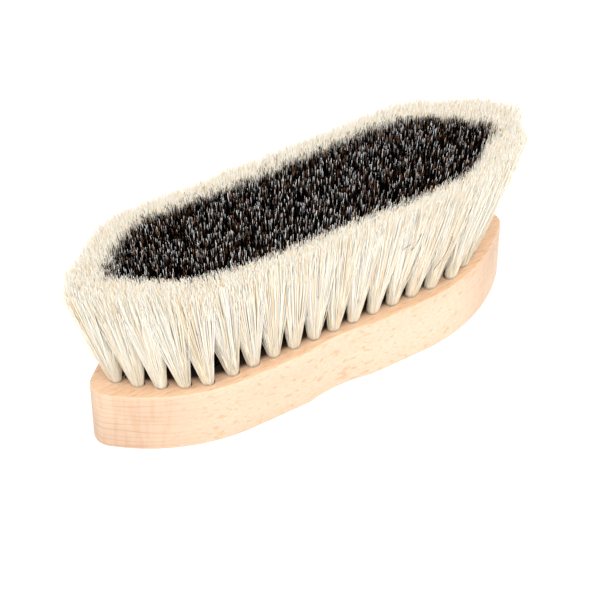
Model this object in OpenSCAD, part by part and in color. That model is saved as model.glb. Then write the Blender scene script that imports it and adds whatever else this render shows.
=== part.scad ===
// Bee brush: a solid beech block set with horsehair tufts, one light outer ring round a dark field.
// Bristles up: the flat back of the block lies on z = 0, the long axis runs along X, the origin is
// under the middle of the block. All sizes in millimetres.

/* [Block] */
// Overall length of the block, nose to nose
block_l = 200; // [190:1:215]
// Width across the straight sides
block_w = 57.5; // [56:0.5:62]
// Thickness of the block
block_t = 29; // [24:0.5:34]
// Radius of each nose, seen from above
nose_r = 8; // [5:0.5:10]
// Radius of the long curves between a nose and the straight sides
flank_r = 79; // [70:1:90]
// Length of the finger waist in each long side
waist_l = 44; // [30:1:50]
// Depth of the finger waist
waist_depth = 1.8; // [0.6:0.1:2.5]

/* [Holes and anchors] */
// Diameter of a tuft hole
hole_d = 5.2; // [4.8:0.1:5.4]
// Depth of a tuft hole along its own axis
hole_depth = 15; // [12:0.5:18]
// Length of an anchor wire, which bites into the wood at both ends
anchor_l = 6; // [5.8:0.1:6.4]
// Width of the flat anchor wire, along the hole
anchor_w = 2.2; // [1.6:0.1:2.6]
// Thickness of the anchor wire
anchor_t = 0.4; // [0.3:0.05:0.6]

/* [Tufts] */
// Length of the hair above the face of the block
hair_l = 55.5; // [40:0.5:65]
// Diameter of a tuft where it is packed into its hole
stem_d = 5.1; // [4.4:0.1:5.3]
// Diameter of a tuft at the trimmed tips
tip_d = 7.8; // [6:0.1:7.8]
// Distance between neighbouring rings of tufts
row_gap = 7.3; // [7.2:0.1:7.6]
// Distance of the middle of a nose tuft of the outer ring from the centre
ring_reach = 88.8; // [86:0.2:90]
// Radius of the curves that close the outer ring at each end
ring_end_r = 60.5; // [58:0.5:64]
// Angle of the outer ring's end curve at the nose
ring_end_angle = 53.1; // [50:0.1:56]

/* [Hidden] */
// Facets on holes and tufts, and on the large curves of the outline
$fn = 48;
OUTLINE_FN = 240;

// Each ring, from the outer light one (0) to the inner dark one (2): tufts along a straight side, how far
// that straight run reaches from the middle, tufts on each quarter curve, and their spacing on the curve
SIDE_TUFTS = [11, 12, 13];
SIDE_REACH = [48, 55.5, 54.4];
CURVE_TUFTS = [4, 2, 1];
CURVE_STEP = [9.3, 9.4, 7.9];
// The single row down the middle
CENTRE_TUFTS = 12;
CENTRE_REACH = 52.8;

// How much further out a tuft's tips stand than its hole: share along X, share across Y, and how far from
// the middle the lean along X goes on growing
LIGHT_SPREAD = [0.21, 0.2, 48];
DARK_SPREAD = [0.08, 0.26, 80];

// The block's end outline: where the flank curve leaves the straight side and where it meets the nose
half_l = block_l / 2;
half_w = block_w / 2;
flank_drop = flank_r - half_w;
nose_x = half_l - nose_r;
flank_x = nose_x - sqrt(pow(flank_r - nose_r, 2) - pow(flank_drop, 2));
meet_x = flank_x + flank_r * (nose_x - flank_x) / (flank_r - nose_r);

// The finger waist: one hollow curve and two round ones of the same radius, all tangent
waist_r = (pow(waist_l / 2, 2) + pow(waist_depth, 2)) / (4 * waist_depth);

// The centre of the outer ring's end curve, shared by the inner rings
ring_side_y = 3 * row_gap;
curve_x = ring_reach - ring_end_r * sin(ring_end_angle);
curve_drop = ring_end_r * cos(ring_end_angle);

// Clearance of a tuft round its anchor and over the floor of its hole
ANCHOR_GAP = 0.03;
FLOOR_GAP = 0.05;
// Hair that passes under the anchor, and how far the folded end is rounded in
FOLD_L = 1;
FOLD_EDGE = 0.7;
// Steps of the curve in which a tuft flares
FLARE_STEPS = 5;
// Overshoot of cutting tools, and the size of the block that trims one tuft
PAST = 3;
TRIM = 40;

function curve_r(ring) = ring_end_r - ring * row_gap;
function apex_angle(ring) = acos(curve_drop / curve_r(ring));
function curve_angle(ring, i) = apex_angle(ring) - i * CURVE_STEP[ring] / curve_r(ring) * 180 / PI;

// Point i back from the nose on a quarter curve, with x and y positive; i = 0 is the nose tuft itself
function curve_point(ring, i) = [
    curve_x + curve_r(ring) * sin(curve_angle(ring, i)),
    curve_r(ring) * cos(curve_angle(ring, i)) - curve_drop
];

// The tufts of one half of a ring, from the left nose to the right one, on the side that s (1 or -1) gives
function side_point(ring, i, s) = [
    SIDE_REACH[ring] * (2 * i / (SIDE_TUFTS[ring] - 1) - 1),
    s * (ring_side_y - ring * row_gap)
];
function half_ring(ring, s) = concat(
    [for (i = [1:CURVE_TUFTS[ring]]) [-curve_point(ring, i)[0], s * curve_point(ring, i)[1]]],
    [for (i = [0:SIDE_TUFTS[ring] - 1]) side_point(ring, i, s)],
    [for (i = [CURVE_TUFTS[ring]:-1:1]) [curve_point(ring, i)[0], s * curve_point(ring, i)[1]]]
);
function noses(ring) = [[-curve_point(ring, 0)[0], 0], [curve_point(ring, 0)[0], 0]];

LIGHT_RING = concat([noses(0)[0]], half_ring(0, -1), [noses(0)[1]], half_ring(0, 1));
OUTER_DARK_FRONT = concat(half_ring(1, -1), [noses(1)[1]]);
OUTER_DARK_BACK = concat([noses(1)[0]], half_ring(1, 1));
INNER_DARK_FRONT = concat(half_ring(2, -1), [noses(2)[1]]);
INNER_DARK_BACK = concat([noses(2)[0]], half_ring(2, 1));
CENTRE_ROW = [for (i = [0:CENTRE_TUFTS - 1]) [CENTRE_REACH * (2 * i / (CENTRE_TUFTS - 1) - 1), 0]];
DARK_TUFTS = concat(OUTER_DARK_FRONT, OUTER_DARK_BACK, INNER_DARK_FRONT, INNER_DARK_BACK, CENTRE_ROW);

LIGHT_COUNT = len(LIGHT_RING);
function two_digits(n) = n < 10 ? str("0", n) : str(n);
LIGHT_NAMES = [for (i = [1:LIGHT_COUNT]) str("light_tuft_", two_digits(i))];

// ---------------------------------------------------------------- shared geometry

// Where the middle of a tuft's tips stands over the face, relative to the middle of its hole
function lean(p, spread) = [
    max(-spread[2], min(spread[2], p[0])) * spread[0],
    p[1] * spread[1],
    hair_l
];

// Puts its children on a tuft's axis: local z = 0 is the mouth of the hole, +Z runs out along the hair
module on_axis(p, spread) {
    v = lean(p, spread);
    turn = atan2(v[1], v[0]);
    translate([p[0], p[1], block_t])
        rotate([0, acos(v[2] / norm(v)), turn])
            rotate([0, 0, -turn])
                children();
}

// ---------------------------------------------------------------- handle block

// Plan of the right-hand end: two long curves closed by the nose
module end_plan() {
    intersection() {
        translate([flank_x, -flank_drop]) circle(flank_r, $fn = OUTLINE_FN);
        translate([flank_x, flank_drop]) circle(flank_r, $fn = OUTLINE_FN);
        translate([flank_x, -half_w]) square([meet_x - flank_x, block_w]);
    }
    translate([nose_x, 0]) circle(nose_r, $fn = OUTLINE_FN);
}

// Plan of one finger waist: what one hollow curve takes off the side, between the two round ones
module waist_plan() {
    difference() {
        intersection() {
            translate([-waist_l / 2, half_w - waist_depth]) square([waist_l, waist_depth + PAST]);
            translate([0, half_w - waist_depth + waist_r]) circle(waist_r, $fn = OUTLINE_FN);
        }
        for (s = [-1, 1])
            translate([s * waist_l / 2, half_w - waist_r]) circle(waist_r, $fn = OUTLINE_FN);
    }
}

module block_plan() {
    difference() {
        union() {
            square([2 * flank_x, block_w], center = true);
            end_plan();
            mirror([1, 0]) end_plan();
        }
        waist_plan();
        mirror([0, 1]) waist_plan();
    }
}

module tuft_hole() {
    translate([0, 0, -hole_depth]) cylinder(d = hole_d, h = hole_depth + PAST);
}

// The flat wire lies across the hole just above its floor; gap makes it larger all round
module anchor_wire(gap = 0) {
    translate([0, 0, FOLD_L - hole_depth + anchor_w / 2])
        cube([anchor_l + 2 * gap, anchor_t + 2 * gap, anchor_w + 2 * gap], center = true);
}

module handle_block() {
    color("burlywood")
        difference() {
            linear_extrude(block_t) block_plan();
            for (p = LIGHT_RING)
                on_axis(p, LIGHT_SPREAD) {
                    tuft_hole();
                    anchor_wire();
                }
            for (p = DARK_TUFTS)
                on_axis(p, DARK_SPREAD) {
                    tuft_hole();
                    anchor_wire();
                }
        }
}

// ---------------------------------------------------------------- tufts and anchors

// Radius of a tuft at height t, from 0 at the face to 1 at the tips: it opens faster at first
function flare_r(t) = stem_d / 2 + (tip_d - stem_d) / 2 * pow(t, 0.85);

// Half the outline of a tuft: folded end in the hole, straight stem, then the flare
module tuft_profile() {
    floor_z = FLOOR_GAP - hole_depth;
    polygon(concat(
        [[0, floor_z], [stem_d / 2 - FOLD_EDGE, floor_z], [stem_d / 2, floor_z + FOLD_EDGE]],
        [for (i = [0:FLARE_STEPS]) [flare_r(i / FLARE_STEPS), hair_l * i / FLARE_STEPS]],
        [[tip_d / 2, hair_l + PAST], [0, hair_l + PAST]]
    ));
}

// One tuft, doubled over its anchor and trimmed level with the rest
module tuft(p, spread) {
    difference() {
        on_axis(p, spread)
            difference() {
                rotate_extrude() tuft_profile();
                anchor_wire(ANCHOR_GAP);
            }
        translate([p[0] - TRIM / 2, p[1] - TRIM / 2, block_t + hair_l]) cube([TRIM, TRIM, 3 * PAST]);
    }
}

module light_tuft(p) {
    color("ivory") tuft(p, LIGHT_SPREAD);
}

module dark_tufts(points) {
    color([0.16, 0.12, 0.1])
        for (p = points) tuft(p, DARK_SPREAD);
}

module anchors(points, spread) {
    color("silver")
        for (p = points) on_axis(p, spread) anchor_wire();
}

// ---------------------------------------------------------------- nodes

handle_block();
for (i = [0:LIGHT_COUNT - 1])
    light_tuft(LIGHT_RING[i]);
dark_tufts(OUTER_DARK_FRONT);  // dark_tufts_outer_front
dark_tufts(OUTER_DARK_BACK);  // dark_tufts_outer_back
dark_tufts(INNER_DARK_FRONT);  // dark_tufts_inner_front
dark_tufts(INNER_DARK_BACK);  // dark_tufts_inner_back
dark_tufts(CENTRE_ROW);  // dark_tufts_centre_row
anchors(LIGHT_RING, LIGHT_SPREAD);  // light_tuft_anchors
anchors(OUTER_DARK_FRONT, DARK_SPREAD);  // dark_outer_front_anchors
anchors(OUTER_DARK_BACK, DARK_SPREAD);  // dark_outer_back_anchors
anchors(INNER_DARK_FRONT, DARK_SPREAD);  // dark_inner_front_anchors
anchors(INNER_DARK_BACK, DARK_SPREAD);  // dark_inner_back_anchors
anchors(CENTRE_ROW, DARK_SPREAD);  // dark_centre_row_anchors
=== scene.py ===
import math

import bmesh
import bpy
import numpy as np
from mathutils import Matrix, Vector


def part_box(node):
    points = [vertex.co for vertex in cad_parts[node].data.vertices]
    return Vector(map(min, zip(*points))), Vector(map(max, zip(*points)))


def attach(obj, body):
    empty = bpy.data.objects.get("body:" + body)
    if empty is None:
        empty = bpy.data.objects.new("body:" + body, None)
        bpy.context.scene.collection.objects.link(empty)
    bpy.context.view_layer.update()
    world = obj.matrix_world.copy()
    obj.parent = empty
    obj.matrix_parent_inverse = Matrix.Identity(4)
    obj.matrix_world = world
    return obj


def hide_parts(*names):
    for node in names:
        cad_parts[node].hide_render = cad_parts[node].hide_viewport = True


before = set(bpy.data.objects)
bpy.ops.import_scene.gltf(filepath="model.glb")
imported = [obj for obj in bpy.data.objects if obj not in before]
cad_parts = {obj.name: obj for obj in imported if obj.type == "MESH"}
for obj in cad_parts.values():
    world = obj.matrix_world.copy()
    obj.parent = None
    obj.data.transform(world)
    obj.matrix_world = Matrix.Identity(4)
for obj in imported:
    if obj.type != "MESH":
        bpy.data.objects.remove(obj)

# Bee brush: beech block, one ring of light horsehair tufts, a field of dark ones inside it.
# All lengths are in metres. Bristles up, long axis along X, the back of the block on z = 0.

SEED = 20
MM = 0.001

FACE_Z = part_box("handle_block")[1].z  # the face that the tufts stand in
TIP_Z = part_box("light_tuft_01")[1].z  # the plane that the hair is trimmed to
HAIR_L = TIP_Z - FACE_Z

# Edges of the block
FACE_EDGE_R = 0.5 * MM
BACK_EDGE_R = 1.4 * MM
EDGE_STEPS = 3
RING_GAP = 2.9 * MM  # between two growth rings of the beech

# The part of the face that the tufts stand in, which is painted dark as shade: its half width, and where
# its ends begin and close
FEET_HALF_W = 21.9 * MM
FEET_FROM = 40 * MM
FEET_END = 88.8 * MM

# Hair. Its strands lie in the columns of one bake map, and those in a column have one colour
STEM_R = 2.40 * MM  # of a tuft where it is packed in its hole
ROOT_DEPTH = 13 * MM  # how deep a strand starts in its hole
WIRE_SIDE = 0.35 * MM  # hair keeps this far from the middle plane of its anchor wire
SQUARE = 0.8  # how far round tufts in a straight row press each other square at the tips
DOME = 6  # how much lower the outer tips of a tuft stand, in metres for each square metre of spread
UNEVEN = 0.03  # how far a strand is from evenly packed, in half widths of its tuft
LOOSE = 2.1  # how much further a wild strand strays than the others
ROOT_SCALE = 0.8  # radius of a strand at its hidden root, as a share of the rest
ROOT_V = 0.1  # share of the bake map's height that the part in the hole takes
COLUMNS = 64
SIDE_U = 0.25  # how far apart the three sides of a strand lie in its column
GOLDEN_ANGLE = math.pi * (3 - math.sqrt(5))


class Hair:
    """What one kind of hair is like. Spreads are half widths of a tuft at its tips."""

    def __init__(self, **values):
        self.strands = values["strands"]  # in one tuft
        self.locks = values["locks"]  # that a tuft parts into
        self.pull = values["pull"]  # how far a strand is drawn to the middle of its lock
        self.radius = values["radius"]
        self.tip_scale = values["tip_scale"]  # radius at the tip, as a share of the rest
        self.bold = values["bold"]  # share of the strands that are thick, and how much thicker
        self.along = values["along"]  # spread along the ring: at the long sides, and at the noses
        self.across = values["across"]  # spread across the ring, at the same two places
        self.out = values["out"]  # shift outwards: at the sides, the left nose and the right nose
        self.bend = values["bend"]  # how far a lock, and a single strand, bow
        self.jitter = values["jitter"]  # how far a lock, and a single tip, stray from their place
        self.flare = values["flare"]  # power of the height that a strand spreads by, from and to
        self.wild = values["wild"]  # share of strands that leave their tuft
        self.trim = values["trim"]  # lowest and highest tip, from the trimmed plane
        self.steps = values["steps"]  # share of the hair's length at each ring of vertices


LIGHT = Hair(
    strands=1200, locks=60, pull=0.08, radius=0.13 * MM, tip_scale=0.6, bold=(0.24, 1.25),
    along=(7.8 * MM, 10.5 * MM), across=(4.3 * MM, 8.0 * MM), out=(0.5 * MM, -0.8 * MM, 2.4 * MM),
    bend=(0.3 * MM, 0.8 * MM), jitter=(0.35 * MM, 1.1 * MM), flare=(0.85, 1.15), wild=0.06,
    trim=(-2.6 * MM, 0.8 * MM), steps=(0, 0.1, 0.25, 0.45, 0.7, 1),
)
DARK = Hair(
    strands=440, locks=90, pull=0.4, radius=0.13 * MM, tip_scale=0.55, bold=(0.12, 1.35),
    along=(6.2 * MM, 4.0 * MM), across=(5.9 * MM, 5.0 * MM), out=(0, -1.5 * MM, -5.5 * MM),
    bend=(1.0 * MM, 1.0 * MM), jitter=(1.1 * MM, 1.2 * MM), flare=(0.3, 0.6), wild=0.01,
    trim=(-1.9 * MM, 1.4 * MM), steps=(0, 0.07, 0.45, 1),
)
NOSE_FROM = 60 * MM  # from here to the noses, the spread goes over to the noses' values
NOSE_FULL = 84 * MM

# Use has set the hair: where the edge of the dark field stands out or is drawn in. Each has the side
# of the brush, its middle along X, its half width along X, and its shift along Y
HAIR_SET = (
    (-1, 36 * MM, 30 * MM, -3.4 * MM),
    (-1, -25 * MM, 35 * MM, -1.5 * MM),
    (-1, -80 * MM, 24 * MM, 6.0 * MM),
    (1, -15 * MM, 50 * MM, -2.8 * MM),
    (1, 80 * MM, 25 * MM, -3.5 * MM),
)
FIELD_HALF_W = 24.5 * MM  # of the dark field, at the tips
BRUSH_HALF_W = 32 * MM  # of all the hair, at the tips

# Loose hairs, in millimetres: the start, the middle and the end of each. Light ones lie on the block,
# dark ones lean on the light tufts
STRAY_R = 0.12 * MM
STRAY_RINGS = 9
LIGHT_STRAY_COLUMN = 50  # tan
LIGHT_STRAYS = (
    ((-84, 0.4, 29.1), (-88.5, -2.5, 29.2), (-92, -5.9, 29.2)),
    ((74, -14, 29.1), (82, -16.8, 29.2), (90, -19.6, 29.3)),
)
DARK_STRAY_COLUMN = 20  # black
DARK_STRAYS = (
    ((54.5, -27.5, 62), (51.2, -30, 54.6), (46.8, -26.5, 42)),
    ((37.4, -29.5, 70), (34.6, -31.2, 66.2), (32.4, -29, 60)),
    ((33, -29, 64.4), (29.8, -31.4, 65.9), (28.3, -29, 62.4)),
)


# ---------------------------------------------------------------- tufts, read from the CAD solids


def solids(node):
    """The points of each separate solid in a CAD node."""
    bm = bmesh.new()
    bm.from_mesh(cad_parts[node].data)
    bmesh.ops.remove_doubles(bm, verts=bm.verts, dist=1e-7)
    left = set(bm.verts)
    found = []
    while left:
        stack = [left.pop()]
        points = []
        while stack:
            v = stack.pop()
            points.append(tuple(v.co))
            for e in v.link_edges:
                other = e.other_vert(v)
                if other in left:
                    left.remove(other)
                    stack.append(other)
        found.append(np.array(points))
    bm.free()
    found.sort(key=lambda p: (round(p[:, 0].mean(), 4), round(p[:, 1].mean(), 4)))
    return found


def middle(points):
    return (points.min(0) + points.max(0)) / 2


def tuft_axis(points):
    """(middle of the hole's mouth, middle of the tips) of one CAD tuft."""
    z = points[:, 2]
    tip = middle(points[z > z.max() - 0.1 * MM])
    root = middle(points[z < z.min() + 0.6 * MM])
    share = (FACE_Z - root[2]) / (tip[2] - root[2])
    return root + (tip - root) * share, tip


# ---------------------------------------------------------------- hair


def sunflower(n):
    """n points spread evenly over a disc of radius 1."""
    k = np.arange(n)
    r = np.sqrt((k + 0.5) / n)
    return np.stack([r * np.cos(k * GOLDEN_ANGLE), r * np.sin(k * GOLDEN_ANGLE)], 1)


def hair_set(tips):
    """Tips moved across the brush by the set of the hair, most at the edge of the dark field."""
    x, y = tips[:, 0], tips[:, 1]
    inside = np.abs(y) / FIELD_HALF_W
    outside = (BRUSH_HALF_W - np.abs(y)) / (BRUSH_HALF_W - FIELD_HALF_W)
    share = np.clip(np.minimum(inside, outside), 0, 1)
    shift = np.zeros(len(tips))
    for side, at, width, amount in HAIR_SET:
        shift += np.where(y * side > 0, amount, 0) * np.exp(-(((x - at) / width) ** 2))
    tips[:, 1] += share * shift
    return tips


def plane_offset(pairs, along, across):
    """Offsets given along and across a ring, as vectors."""
    return pairs[:, :1] * along + pairs[:, 1:] * across


def strand_paths(kind, mouth, tip, along, rng):
    """(points of each strand from root to tip, bake column of each strand) for one tuft."""
    n = kind.strands
    axis = (tip - mouth) / np.linalg.norm(tip - mouth)
    along = along / np.linalg.norm(along)
    across = np.cross([0, 0, 1], along)
    if across @ mouth < 0:
        across = -across
    nose = np.clip((abs(mouth[0]) - NOSE_FROM) / (NOSE_FULL - NOSE_FROM), 0, 1)
    half = np.array([kind.along, kind.across]) @ [1 - nose, nose]
    out = kind.out[0] + nose * (kind.out[1 if mouth[0] < 0 else 2] - kind.out[0])

    packed = sunflower(n) + rng.normal(0, UNEVEN, (n, 2))
    lock_at = sunflower(kind.locks) + rng.normal(0, 2 * UNEVEN, (kind.locks, 2))
    lock = np.argmin(((packed[:, None] - lock_at[None]) ** 2).sum(2), 1)
    stray = np.where(rng.random((n, 1)) < kind.wild, LOOSE, 1.0)
    corner = np.linalg.norm(packed, axis=1) / np.abs(packed).max(1)
    square = packed * (1 + SQUARE * (1 - nose) * (corner[:, None] - 1))
    spread = (square + (lock_at[lock] - packed) * kind.pull) * half
    lock_jitter = rng.normal(0, kind.jitter[0], (kind.locks, 2))[lock]
    spread += lock_jitter + rng.normal(0, kind.jitter[1], (n, 2)) * stray
    tips = hair_set(tip + plane_offset(spread, along, across) + out * across)
    tips[:, 2] = TIP_Z + rng.uniform(*kind.trim, n) - DOME * (spread**2).sum(1)

    base = mouth + STEM_R * plane_offset(packed, along, across)
    lock_bend = rng.normal(0, kind.bend[0], (kind.locks, 2))[lock]
    bow = lock_bend + rng.normal(0, kind.bend[1], (n, 2)) * stray
    bow = plane_offset(bow, along, across)
    root = base - axis * ROOT_DEPTH
    root[:, 1] += np.where(base[:, 1] > mouth[1], WIRE_SIDE, -WIRE_SIDE)
    power = rng.uniform(*kind.flare, (n, 1))
    reach = tips - (base + axis * HAIR_L)
    rows = [root]
    for t in kind.steps:
        rows.append(base + axis * (HAIR_L * t) + reach * t**power + bow * (t * math.sin(math.pi * t)))
    return np.stack(rows, 1), rng.integers(0, COLUMNS, n)


def strand_radius(kind, columns):
    """Radius of each strand at each ring of vertices."""
    radius = np.full((len(columns), len(kind.steps) + 1), kind.radius)
    radius[columns >= COLUMNS * (1 - kind.bold[0])] *= kind.bold[1]
    radius[:, 0] *= ROOT_SCALE
    radius[:, -1] *= kind.tip_scale
    return radius


def hair_mesh(name, paths, radius, steps, columns):
    """One mesh of closed three-sided strands. Strands of one colour share a column of its bake map."""
    strands, rings = paths.shape[:2]
    angle = np.arange(3) * 2 * math.pi / 3
    side = np.stack([np.cos(angle), np.sin(angle), np.zeros(3)], 1)
    points = paths[:, :, None, :] + radius[:, :, None, None] * side[None, None]
    first = (np.arange(strands) * rings * 3)[:, None, None]
    ring = (np.arange(rings - 1) * 3)[None, :, None]
    k = np.arange(3)[None, None, :]
    k_next = (k + 1) % 3
    here = first + ring + k
    beside = first + ring + k_next
    quads = np.stack([here, beside, beside + 3, here + 3], -1).reshape(-1, 4)
    start = np.arange(strands)[:, None] * rings * 3
    roots = start + [[2, 1, 0]]
    ends = start + (rings - 1) * 3 + [[0, 1, 2]]
    mesh = bpy.data.meshes.new(name)
    corners = np.concatenate([quads.ravel(), roots.ravel(), ends.ravel()])
    sizes = np.concatenate([np.full(len(quads), 4), np.full(2 * strands, 3)])
    mesh.vertices.add(strands * rings * 3)
    mesh.vertices.foreach_set("co", points.astype(np.float32).ravel())
    mesh.loops.add(len(corners))
    mesh.loops.foreach_set("vertex_index", corners.astype(np.int32))
    mesh.polygons.add(len(sizes))
    mesh.polygons.foreach_set("loop_start", np.concatenate([[0], np.cumsum(sizes)[:-1]]).astype(np.int32))
    mesh.update(calc_edges=True)
    mesh.polygons.foreach_set("use_smooth", np.ones(len(sizes), bool))
    height = np.array([0, *steps])
    height[1:] = ROOT_V + (1 - ROOT_V) * height[1:]
    column_u = (columns[:, None, None] + 0.5 + SIDE_U * np.array([-1, 0, 1])[None, None, :]) / COLUMNS
    u = np.broadcast_to(column_u, (strands, rings, 3)).ravel()
    v = np.broadcast_to(height[None, :, None], (strands, rings, 3)).ravel()
    uv = np.stack([u[corners], v[corners]], 1)
    layer = mesh.uv_layers.new(name="OFBake")
    layer.data.foreach_set("uv", uv.astype(np.float32).ravel())
    mesh.validate()
    obj = bpy.data.objects.new(name, mesh)
    bpy.context.scene.collection.objects.link(obj)
    return obj


def stray_hairs(name, material, column, courses):
    """Single long hairs, each along a course of three points."""
    t = np.linspace(0, 1, STRAY_RINGS)[:, None]
    paths = []
    for a, b, c in np.array(courses) * MM:
        paths.append((1 - t) ** 2 * a + 2 * t * (1 - t) * (2 * b - (a + c) / 2) + t**2 * c)
    radius = np.full((len(paths), len(t)), STRAY_R)
    hair = hair_mesh(name, np.array(paths), radius, t[1:, 0], np.full(len(paths), column))
    hair.data.materials.append(material)
    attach(hair, "root")


# ---------------------------------------------------------------- materials


class Shader:
    """A material's node tree, with short ways to add and join nodes."""

    def __init__(self, name):
        self.material = bpy.data.materials.new(name)
        self.material.use_nodes = True
        self.tree = self.material.node_tree
        self.bsdf = self.tree.nodes["Principled BSDF"]

    def node(self, kind, **values):
        made = self.tree.nodes.new(kind)
        for key, value in values.items():
            if key in made.inputs:
                made.inputs[key].default_value = value
            else:
                setattr(made, key, value)
        return made

    def join(self, out, into):
        self.tree.links.new(out, into)

    def math(self, operation, a, b=None):
        made = self.node("ShaderNodeMath", operation=operation)
        for socket, value in zip(made.inputs, (a, b)):
            if value is None:
                continue
            if isinstance(value, (int, float)):
                socket.default_value = value
            else:
                self.join(value, socket)
        return made.outputs[0]

    def ramp(self, factor, stops):
        made = self.node("ShaderNodeValToRGB")
        for i, (at, colour) in enumerate(stops):
            stop = made.color_ramp.elements[i] if i < 2 else made.color_ramp.elements.new(at)
            stop.position = at
            stop.color = (*colour, 1)
        self.join(factor, made.inputs["Fac"])
        return made.outputs["Color"]

    def step(self, value, low, high):
        """0 below low, 1 above high, and smooth in between."""
        made = self.node("ShaderNodeMapRange", interpolation_type="SMOOTHSTEP")
        self.join(value, made.inputs["Value"])
        made.inputs["From Min"].default_value = low
        made.inputs["From Max"].default_value = high
        return made.outputs["Result"]

    def mix(self, factor, a, b, blend="MIX"):
        made = self.node("ShaderNodeMix", data_type="RGBA", blend_type=blend)
        for socket, value in ((made.inputs["Factor"], factor), (made.inputs[6], a), (made.inputs[7], b)):
            if isinstance(value, (int, float)):
                socket.default_value = value
            elif isinstance(value, tuple):
                socket.default_value = (*value, 1)
            else:
                self.join(value, socket)
        return made.outputs[2]

    def noise(self, coordinates, scale, detail=2.0):
        """Noise stretched by a scale along each axis, in cycles per metre."""
        mapping = self.node("ShaderNodeMapping", Scale=scale)
        self.join(coordinates, mapping.inputs["Vector"])
        made = self.node("ShaderNodeTexNoise", Scale=1.0, Detail=detail)
        self.join(mapping.outputs[0], made.inputs["Vector"])
        return made.outputs["Fac"]

    def bump(self, height, strength, distance):
        made = self.node("ShaderNodeBump", Strength=strength, Distance=distance)
        self.join(height, made.inputs["Height"])
        self.join(made.outputs[0], self.bsdf.inputs["Normal"])


def hair_material(name, colours, root_shade, roughness, gloss):
    """Hair whose colour goes by the strand's column, times a ramp of painted shade along the strand."""
    s = Shader(name)
    uv = s.node("ShaderNodeUVMap", uv_map="OFBake")
    parts = s.node("ShaderNodeSeparateXYZ")
    s.join(uv.outputs[0], parts.inputs[0])
    strand = s.ramp(parts.outputs["X"], colours)
    shade = s.ramp(parts.outputs["Y"], root_shade)
    s.join(s.mix(1.0, strand, shade, "MULTIPLY"), s.bsdf.inputs["Base Color"])
    s.bsdf.inputs["Roughness"].default_value = roughness
    s.bsdf.inputs["Specular IOR Level"].default_value = gloss
    return s.material


def light_hair_material():
    colours = [
        (0.0, (0.95, 0.935, 0.90)),
        (0.5, (0.95, 0.92, 0.84)),
        (0.75, (0.94, 0.885, 0.75)),
        (0.78, (0.94, 0.82, 0.64)),
        (1.0, (0.88, 0.70, 0.47)),
    ]
    # painted shade: darker towards the root, and steeply darker in the last millimetre or two above the
    # hole's mouth; the tips are painted a little darker against the light that falls on them from above
    shade = [
        (0.0, (0.35, 0.33, 0.30)),
        (0.110, (0.55, 0.52, 0.47)),
        (0.125, (0.80, 0.76, 0.69)),
        (0.40, (0.95, 0.935, 0.91)),
        (0.70, (1, 1, 1)),
        (1.0, (0.97, 0.965, 0.95)),
    ]
    return hair_material("light_horsehair", colours, shade, 0.5, 0.3)


def dark_hair_material():
    colours = [
        (0.0, (0.0004, 0.0003, 0.0003)),
        (0.70, (0.002, 0.0015, 0.0012)),
        (0.83, (0.015, 0.012, 0.010)),
        (0.86, (0.10, 0.045, 0.022)),
        (0.915, (0.36, 0.17, 0.08)),
        # the pale grey to white strands are partly grey hairs among the black and partly painted highlight,
        # standing for the shine of the black hair, which is given no gloss of its own
        (0.92, (0.65, 0.64, 0.63)),
        (1.0, (0.99, 0.99, 0.99)),
    ]
    # painted shade: the dark hair is dimmed to about a tenth below its top three millimetres, where the
    # field shades itself, and only the last millimetre keeps full colour
    shade = [(0.0, (0.1, 0.1, 0.1)), (0.8, (0.12, 0.12, 0.12)), (0.95, (0.4, 0.4, 0.4)), (0.985, (1, 1, 1))]
    return hair_material("dark_horsehair", colours, shade, 0.35, 0.0)


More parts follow.
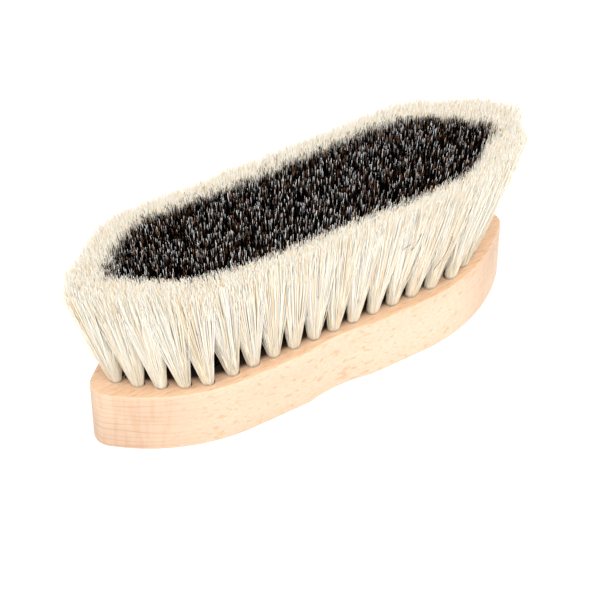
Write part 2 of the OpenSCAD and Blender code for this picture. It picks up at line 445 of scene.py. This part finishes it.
def beech_material():
    """Beech as one solid block: growth rings lie flat, and the grain runs along X."""
    s = Shader("beech")
    texture = s.node("ShaderNodeTexCoord")
    at = texture.outputs["Object"]
    normal = s.node("ShaderNodeSeparateXYZ")
    s.join(texture.outputs["Normal"], normal.inputs[0])
    place = s.node("ShaderNodeSeparateXYZ")
    s.join(at, place.inputs[0])
    flat = s.step(s.math("ABSOLUTE", normal.outputs["Z"]), 0.3, 0.9)
    end = s.step(s.math("ABSOLUTE", normal.outputs["X"]), 0.15, 0.6)

    drift = s.noise(at, (8, 40, 60), 3.0)
    face = s.ramp(drift, [(0.35, (0.69, 0.465, 0.30)), (0.65, (0.72, 0.495, 0.33))])
    side = s.ramp(drift, [(0.35, (0.59, 0.422, 0.305)), (0.65, (0.64, 0.48, 0.36))])
    cut = s.ramp(drift, [(0.35, (0.475, 0.33, 0.225)), (0.65, (0.525, 0.385, 0.27))])

    # the flat face: long soft streaks and short dark dashes, both along the grain
    streaks = s.noise(at, (22, 900, 400), 3.0)
    dashes = s.noise(at, (190, 2300, 900), 2.0)
    face = s.mix(0.40, face, s.ramp(streaks, [(0.42, (0.88, 0.76, 0.64)), (0.60, (1, 1, 1))]), "MULTIPLY")
    face = s.mix(0.75, face, s.ramp(dashes, [(0.57, (1, 1, 1)), (0.68, (0.70, 0.50, 0.36))]), "MULTIPLY")

    # the long sides: scattered ray flecks, and finer mottling
    flecks = s.noise(at, (290, 350, 440), 2.0)
    mottle = s.noise(at, (500, 700, 1100), 3.0)
    side = s.mix(0.7, side, s.ramp(flecks, [(0.57, (1, 1, 1)), (0.68, (0.94, 0.70, 0.52))]), "MULTIPLY")
    side = s.mix(0.65, side, s.ramp(mottle, [(0.40, (0.94, 0.87, 0.80)), (0.60, (1, 1, 1))]), "MULTIPLY")

    # the noses: growth rings as thin reddish lines, rays as faint upright ones
    wave = s.math("MULTIPLY", s.noise(at, (14, 14, 150), 2.0), 2.6)
    rings = s.math("FRACT", s.math("ADD", s.math("DIVIDE", place.outputs["Z"], RING_GAP), wave))
    rays = s.noise(at, (420, 420, 60), 4.0)
    ring_lines = s.ramp(rings, [(0.70, (1, 1, 1)), (0.86, (0.92, 0.76, 0.68)), (0.95, (1, 1, 1))])
    cut = s.mix(1.0, cut, ring_lines, "MULTIPLY")
    cut = s.mix(0.5, cut, s.ramp(rays, [(0.40, (0.94, 0.82, 0.74)), (0.52, (1, 1, 1))]), "MULTIPLY")

    # among the feet of the tufts the face is painted nearly black: painted shade, standing for the deep
    # shade that the hair casts there
    past = s.math("MAXIMUM", s.math("SUBTRACT", s.math("ABSOLUTE", place.outputs["X"]), FEET_FROM), 0)
    past = s.math("POWER", s.math("DIVIDE", past, FEET_END - FEET_FROM), 2)
    reach = s.math("ADD", s.math("ABSOLUTE", place.outputs["Y"]), s.math("MULTIPLY", past, FEET_HALF_W))
    face = s.mix(s.step(reach, FEET_HALF_W - 2 * MM, FEET_HALF_W + 1 * MM), (0.055, 0.03, 0.02), face)

    wood = s.mix(flat, s.mix(end, side, cut), face)
    s.join(wood, s.bsdf.inputs["Base Color"])
    s.join(s.ramp(streaks, [(0.3, (0.62,) * 3), (0.7, (0.48,) * 3)]), s.bsdf.inputs["Roughness"])
    s.bump(s.math("ADD", streaks, s.math("MULTIPLY", dashes, -1)), 0.2, 0.0001)
    return s.material


def steel_material():
    s = Shader("anchor_steel")
    at = s.node("ShaderNodeTexCoord").outputs["Object"]
    scratches = s.noise(at, (300, 9000, 9000), 2.0)
    colour = s.ramp(scratches, [(0.3, (0.50, 0.50, 0.49)), (0.7, (0.66, 0.66, 0.65))])
    s.join(colour, s.bsdf.inputs["Base Color"])
    s.join(s.ramp(scratches, [(0.3, (0.28,) * 3), (0.7, (0.42,) * 3)]), s.bsdf.inputs["Roughness"])
    s.bsdf.inputs["Metallic"].default_value = 1.0
    return s.material


# ---------------------------------------------------------------- the block


def block_piece(material):
    """The CAD block with its outer edges rounded."""
    bm = bmesh.new()
    bm.from_mesh(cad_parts["handle_block"].data)
    bmesh.ops.remove_doubles(bm, verts=bm.verts, dist=1e-6)
    bmesh.ops.dissolve_limit(bm, angle_limit=0.001, verts=bm.verts, edges=bm.edges)
    for z, radius in ((FACE_Z, FACE_EDGE_R), (0.0, BACK_EDGE_R)):
        rim = [e for e in bm.edges if wall_edge(e, z)]
        bmesh.ops.bevel(
            bm, geom=rim, offset=radius, offset_type="OFFSET", segments=EDGE_STEPS, profile=0.5,
            affect="EDGES", clamp_overlap=False,
        )
    mesh = bpy.data.meshes.new("beech_block")
    bm.to_mesh(mesh)
    bm.free()
    mesh.materials.append(material)
    obj = bpy.data.objects.new("beech_block", mesh)
    bpy.context.scene.collection.objects.link(obj)
    return obj


def wall_edge(edge, z):
    """True where the flat face at height z meets the block's upright outer wall."""
    if len(edge.link_faces) != 2 or any(abs(v.co.z - z) > 1e-6 for v in edge.verts):
        return False
    up = [abs(f.normal.z) for f in edge.link_faces]
    return max(up) > 0.99 and min(up) < 0.01


# ---------------------------------------------------------------- pieces

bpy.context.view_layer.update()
rng = np.random.default_rng(SEED)

beech = beech_material()
light_hair = light_hair_material()
dark_hair = dark_hair_material()
steel = steel_material()

block = block_piece(beech)
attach(block, "root")
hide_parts("handle_block")

nodes = sorted(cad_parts)
light_nodes = [n for n in nodes if n.startswith("light_tuft_") and n != "light_tuft_anchors"]
dark_nodes = [n for n in nodes if n.startswith("dark_tufts_")]
anchor_nodes = [n for n in nodes if n.endswith("_anchors")]

light_axes = [tuft_axis(solids(n)[0]) for n in light_nodes]
for i, node in enumerate(light_nodes):
    mouth, tip = light_axes[i]
    along = light_axes[(i + 1) % len(light_axes)][1] - light_axes[i - 1][1]
    paths, columns = strand_paths(LIGHT, mouth, tip, along, rng)
    hair = hair_mesh("hair_" + node, paths, strand_radius(LIGHT, columns), LIGHT.steps, columns)
    hair.data.materials.append(light_hair)
    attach(hair, "root")
    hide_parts(node)

for node in dark_nodes:
    made = [strand_paths(DARK, *tuft_axis(points), np.array([1.0, 0, 0]), rng) for points in solids(node)]
    columns = np.concatenate([m[1] for m in made])
    paths = np.concatenate([m[0] for m in made])
    hair = hair_mesh("hair_" + node, paths, strand_radius(DARK, columns), DARK.steps, columns)
    hair.data.materials.append(dark_hair)
    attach(hair, "root")
    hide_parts(node)

stray_hairs("light_stray_hairs", light_hair, LIGHT_STRAY_COLUMN, LIGHT_STRAYS)
stray_hairs("dark_stray_hairs", dark_hair, DARK_STRAY_COLUMN, DARK_STRAYS)

for node in anchor_nodes:
    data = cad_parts[node].data
    data.materials.clear()
    data.materials.append(steel)

# ---------------------------------------------------------------- camera, floor and light

CAMERA_AZIMUTH = math.radians(-33.07)
CAMERA_ELEVATION = math.radians(41.34)
CAMERA_DISTANCE = 0.8927
CAMERA_LENS = 129.2
LOOK_AT = Vector((-0.0016, 0.0004, 0.0285))

toward = Vector((
    math.sin(CAMERA_AZIMUTH) * math.cos(CAMERA_ELEVATION),
    -math.cos(CAMERA_AZIMUTH) * math.cos(CAMERA_ELEVATION),
    math.sin(CAMERA_ELEVATION),
))
camera_data = bpy.data.cameras.new("camera")
camera_data.lens = CAMERA_LENS
camera_data.sensor_width = 36
camera_data.clip_start = 0.05
camera = bpy.data.objects.new("camera", camera_data)
camera.location = LOOK_AT + toward * CAMERA_DISTANCE
camera.rotation_mode = "QUATERNION"
camera.rotation_quaternion = (-toward).to_track_quat("-Z", "Y")
bpy.context.scene.collection.objects.link(camera)
bpy.context.scene.camera = camera

FLOOR_HALF = 3.0
FLOOR_GAP = 0.2 * MM  # that keeps the floor from lying in the block's own back face
floor_corners = [(x * FLOOR_HALF, y * FLOOR_HALF, 0) for x, y in ((-1, -1), (1, -1), (1, 1), (-1, 1))]
floor_mesh = bpy.data.meshes.new("floor")
floor_mesh.from_pydata(floor_corners, [], [(0, 1, 2, 3)])
floor = bpy.data.objects.new("floor", floor_mesh)
floor.location.z = -FLOOR_GAP
bpy.context.scene.collection.objects.link(floor)
paper = Shader("pale_floor")
paper.bsdf.inputs["Base Color"].default_value = (0.98, 0.98, 0.98, 1)
paper.bsdf.inputs["Roughness"].default_value = 0.9
paper.bsdf.inputs["Emission Color"].default_value = (1, 1, 1, 1)
paper.bsdf.inputs["Emission Strength"].default_value = 0.15  # lit from below, as a product table is
floor_mesh.materials.append(paper.material)


def soft_light(name, azimuth, elevation, distance, size, power):
    """A square area light that looks at the brush."""
    data = bpy.data.lights.new(name, "AREA")
    data.size = size
    data.energy = power
    light = bpy.data.objects.new(name, data)
    a = math.radians(azimuth)
    e = math.radians(elevation)
    away = Vector((math.sin(a) * math.cos(e), -math.cos(a) * math.cos(e), math.sin(e)))
    light.location = LOOK_AT + away * distance
    light.rotation_mode = "QUATERNION"
    light.rotation_quaternion = (-away).to_track_quat("-Z", "Y")
    bpy.context.scene.collection.objects.link(light)


soft_light("key", -20, 42, 1.2, 0.9, 10)
soft_light("fill_left", -80, 30, 1.4, 1.0, 8)
soft_light("fill_right", 70, 30, 1.4, 1.0, 9)

world = bpy.data.worlds.new("studio")
world.use_nodes = True
world.node_tree.nodes["Background"].inputs["Color"].default_value = (1, 1, 1, 1)
world.node_tree.nodes["Background"].inputs["Strength"].default_value = 0.80
bpy.context.scene.world = world
bpy.context.scene.view_settings.view_transform = "Standard"
